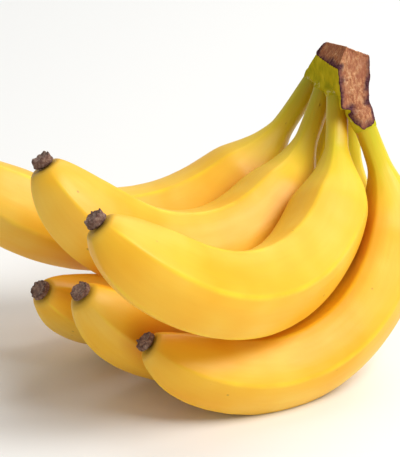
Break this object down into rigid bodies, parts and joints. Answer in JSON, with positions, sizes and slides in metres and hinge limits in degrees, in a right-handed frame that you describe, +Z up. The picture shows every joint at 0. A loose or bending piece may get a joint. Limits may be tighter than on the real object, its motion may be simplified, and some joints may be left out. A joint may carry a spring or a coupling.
{
  "type": "bunch of bananas",
  "caption": "Bunch of ripe yellow bananas on one cut crown, lying on its outer curve with the tips turned up.",
  "frame": {"origin": "middle of the footprint, on the surface that the bunch lies on", "axes": "+Z up; +X from the tips towards the crown; +Y from the near fingers towards the far ones"},
  "size_m": [0.212, 0.1724, 0.138],
  "materials": {
    "peel": "satin",
    "crown": "matt",
    "dry_blossom": "matt"
  },
  "bodies": {
    "root": {"crown": "crown", "banana_inner_near": "peel", "banana_inner_middle": "peel", "banana_inner_far": "peel", "banana_outer_near": "peel", "banana_outer_middle": "peel", "banana_outer_far": "peel", "blossom_end_inner_near": "dry_blossom", "blossom_end_inner_middle": "dry_blossom", "blossom_end_inner_far": "dry_blossom", "blossom_end_outer_near": "dry_blossom", "blossom_end_outer_middle": "dry_blossom", "blossom_end_outer_far": "dry_blossom"}
  },
  "joints": []
}
